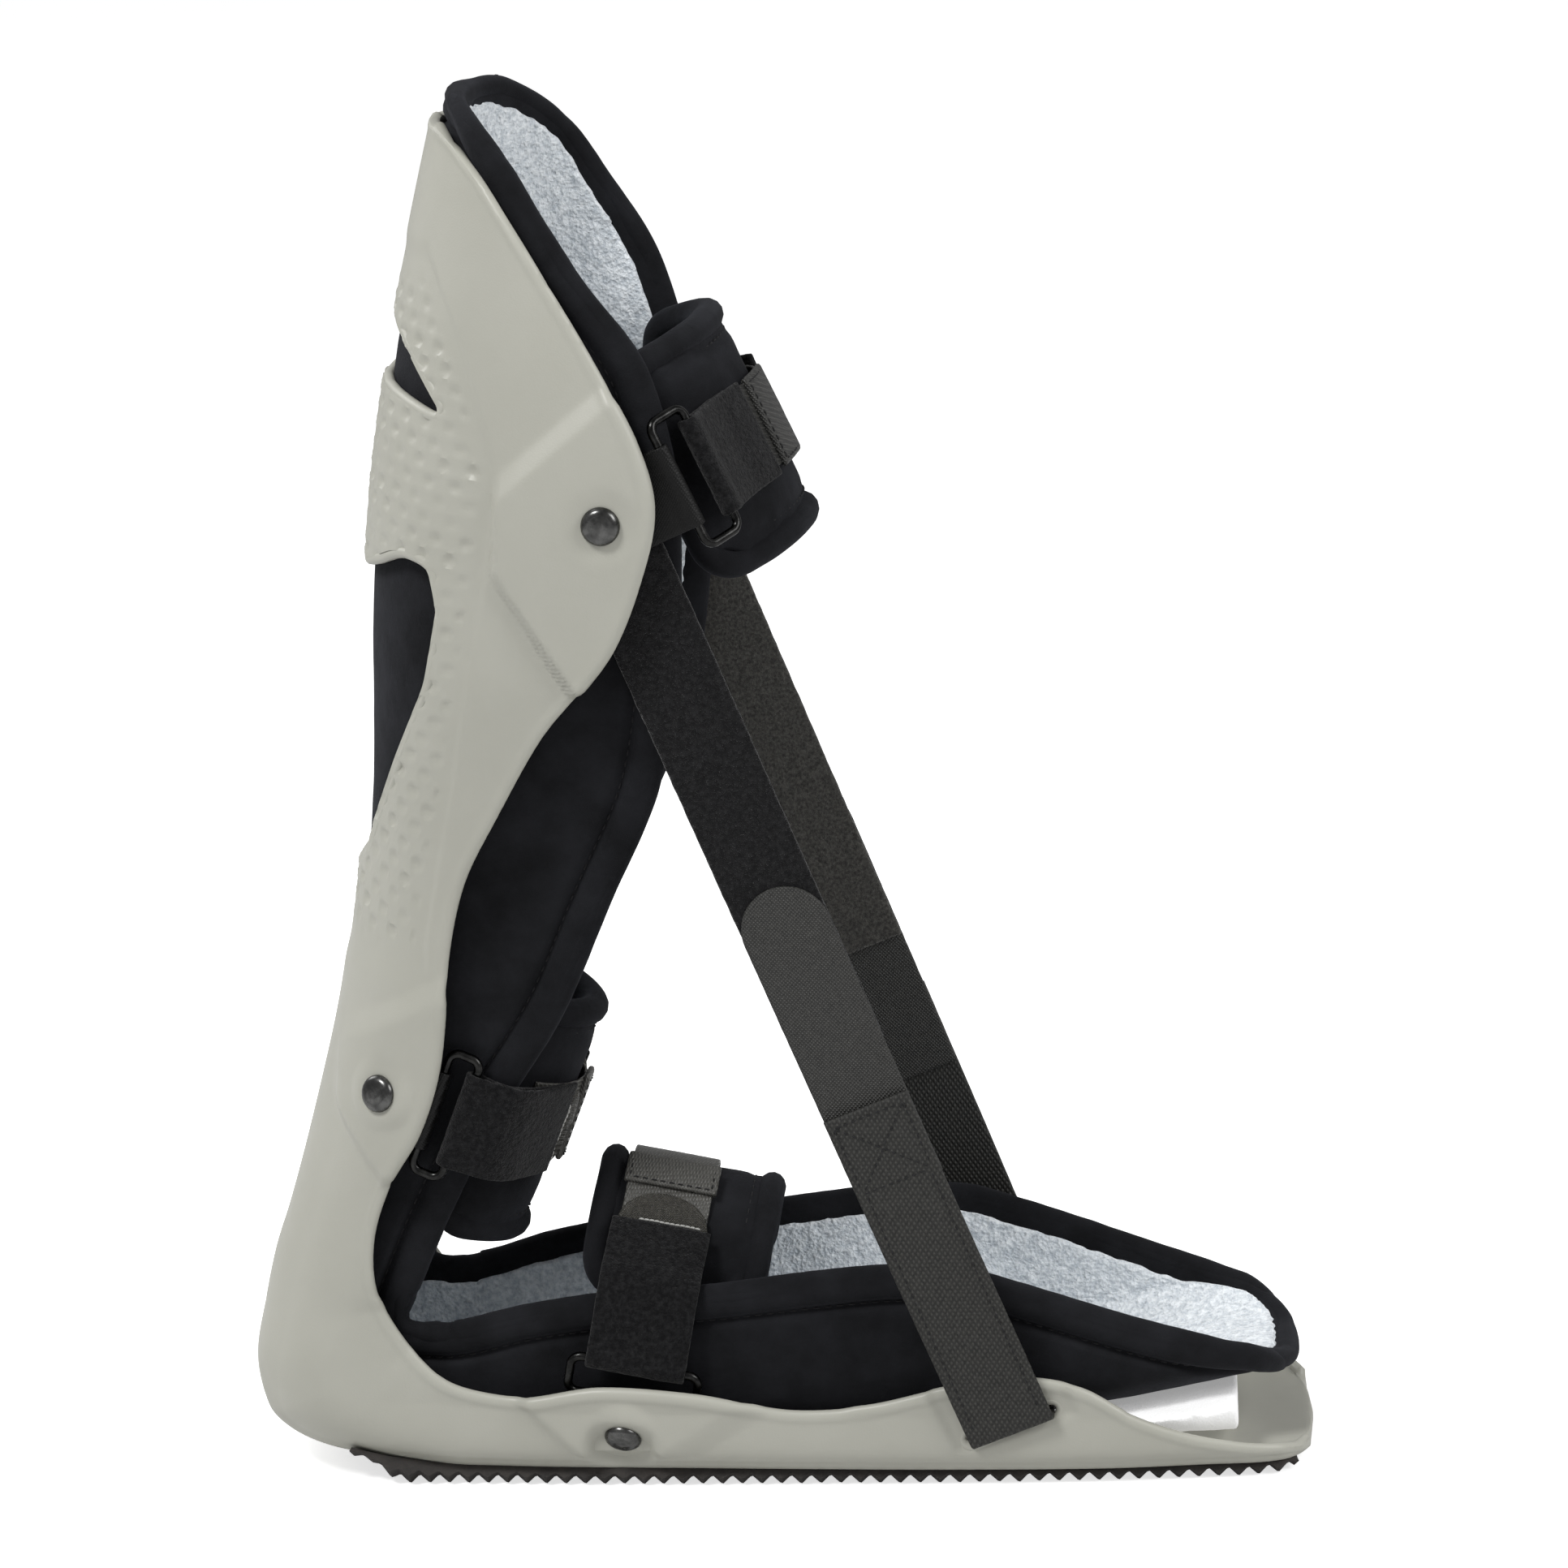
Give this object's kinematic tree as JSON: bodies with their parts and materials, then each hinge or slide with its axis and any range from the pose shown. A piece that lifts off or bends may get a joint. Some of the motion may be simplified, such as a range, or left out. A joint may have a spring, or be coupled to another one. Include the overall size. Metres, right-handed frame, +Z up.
{
  "type": "ankle foot orthosis",
  "caption": "Posterior ankle foot orthosis: L-shaped moulded shell with padded terry liner, front straps on rings, diagonal side straps, toe wedge and ribbed sole.",
  "frame": {"origin": "on the ground plane, at mid-width, under the ankle, on the flat crest of a sole tooth", "axes": "+X towards the toes, +Y to the wearer's left, +Z up"},
  "size_m": [0.308, 0.1382, 0.401],
  "materials": {
    "shell_plastic": "satin, finely textured, warm grey",
    "rubber": "matt dark brown-grey",
    "foam": "matt white closed-cell foam",
    "terry": "looped pale blue-grey terry",
    "ring_steel": "dark plated wire",
    "rivet_steel": "gunmetal",
    "liner_fabric": "brushed black-navy laminate",
    "loop_strap": "brushed black loop fabric",
    "chape_tape": "smooth black webbing",
    "hook_webbing": "charcoal woven webbing and hook tape"
  },
  "bodies": {
    "shell": {"shell": "shell_plastic", "tread_sole": "rubber", "toe_wedge": "foam", "liner_cover": "liner_fabric", "liner_terry": "terry", "liner_binding": "liner_fabric", "calf_rivet_right": "rivet_steel", "calf_chape_right": "chape_tape", "calf_rivet_left": "rivet_steel", "calf_chape_left": "chape_tape", "ankle_rivet_right": "rivet_steel", "ankle_chape_right": "chape_tape", "ankle_rivet_left": "rivet_steel", "ankle_chape_left": "chape_tape", "instep_rivet_right": "rivet_steel", "instep_chape_right": "chape_tape", "instep_rivet_left": "rivet_steel", "instep_chape_left": "chape_tape"},
    "calf_strap": {"calf_pad": "liner_fabric", "calf_hook_tape": "hook_webbing", "calf_tape_patch": "hook_webbing", "calf_tail_left": "loop_strap", "calf_ring_left": "ring_steel"},
    "calf_ring": {"calf_ring_right": "ring_steel"},
    "calf_tail": {"calf_tail_right": "loop_strap"},
    "ankle_strap": {"ankle_pad": "liner_fabric", "ankle_hook_tape": "hook_webbing", "ankle_tape_patch": "hook_webbing", "ankle_tail_left": "loop_strap", "ankle_ring_left": "ring_steel"},
    "ankle_ring": {"ankle_ring_right": "ring_steel"},
    "ankle_tail": {"ankle_tail_right": "loop_strap"},
    "instep_strap": {"instep_pad": "liner_fabric", "instep_hook_tape": "hook_webbing", "instep_tape_patch": "hook_webbing", "instep_tail_left": "loop_strap", "instep_ring_left": "ring_steel"},
    "instep_ring": {"instep_ring_right": "ring_steel"},
    "instep_tail": {"instep_tail_right": "loop_strap"},
    "side_web_right": {"side_web_right": "hook_webbing", "side_hook_tab_right": "hook_webbing"},
    "side_band_right": {"side_band_right": "loop_strap"},
    "side_web_left": {"side_web_left": "hook_webbing", "side_hook_tab_left": "hook_webbing"},
    "side_band_left": {"side_band_left": "loop_strap"}
  },
  "joints": [
    {"name": "calf_strap_open", "type": "hinge", "parent": "shell", "child": "calf_strap", "pos_m": [0.03949, 0.0615, 0.29574], "axis": [-0.4067, 0, 0.9135], "range_deg": [0, 18]},
    {"name": "calf_ring_tilt", "type": "hinge", "parent": "shell", "child": "calf_ring", "pos_m": [0.03949, -0.0615, 0.29574], "axis": [0.4067, 0, -0.9135], "range_deg": [0, 15]},
    {"name": "calf_tail_peel", "type": "hinge", "parent": "calf_ring", "child": "calf_tail", "pos_m": [0.04753, -0.0524, 0.29932], "axis": [0.4067, 0, -0.9135], "range_deg": [0, 72]},
    {"name": "ankle_strap_open", "type": "hinge", "parent": "shell", "child": "ankle_strap", "pos_m": [-0.04109, 0.0412, 0.11438], "axis": [0.3746, 0, 0.9272], "range_deg": [0, 6.5]},
    {"name": "ankle_ring_tilt", "type": "hinge", "parent": "shell", "child": "ankle_ring", "pos_m": [-0.04109, -0.0412, 0.11438], "axis": [-0.3746, 0, -0.9272], "range_deg": [0, 12]},
    {"name": "ankle_tail_peel", "type": "hinge", "parent": "ankle_ring", "child": "ankle_tail", "pos_m": [-0.03275, -0.04225, 0.11101], "axis": [-0.3746, 0, -0.9272], "range_deg": [0, 19.5]},
    {"name": "instep_strap_open", "type": "hinge", "parent": "shell", "child": "instep_strap", "pos_m": [0.0115, 0.0413, 0.02609], "axis": [-0.9781, 0, 0.2079], "range_deg": [0, 5]},
    {"name": "instep_ring_tilt", "type": "hinge", "parent": "shell", "child": "instep_ring", "pos_m": [0.0115, -0.0413, 0.02609], "axis": [0.9781, 0, -0.2079], "range_deg": [0, 12]},
    {"name": "instep_tail_peel", "type": "hinge", "parent": "instep_ring", "child": "instep_tail", "pos_m": [0.01387, -0.0436, 0.03724], "axis": [0.9781, 0, -0.2079], "range_deg": [0, 15]},
    {"name": "side_web_peel_right", "type": "hinge", "parent": "shell", "child": "side_web_right", "pos_m": [0.121, -0.046, 0.0194], "axis": [0.9333, 0, 0.3591], "range_deg": [0, 7]},
    {"name": "side_band_swing_right", "type": "hinge", "parent": "shell", "child": "side_band_right", "pos_m": [0.0183, -0.0593, 0.2863], "axis": [0, 1, 0], "range_deg": [-6, 6]},
    {"name": "side_web_peel_left", "type": "hinge", "parent": "shell", "child": "side_web_left", "pos_m": [0.121, 0.046, 0.0194], "axis": [-0.9333, 0, -0.3591], "range_deg": [0, 7]},
    {"name": "side_band_swing_left", "type": "hinge", "parent": "shell", "child": "side_band_left", "pos_m": [0.0183, 0.0593, 0.2863], "axis": [0, 1, 0], "range_deg": [-6, 6]}
  ],
  "couplings": [
    {"joint": "calf_tail_peel", "follows": "calf_strap_open", "ratio": 4},
    {"joint": "ankle_tail_peel", "follows": "ankle_strap_open", "ratio": 3},
    {"joint": "instep_tail_peel", "follows": "instep_strap_open", "ratio": 3}
  ]
}
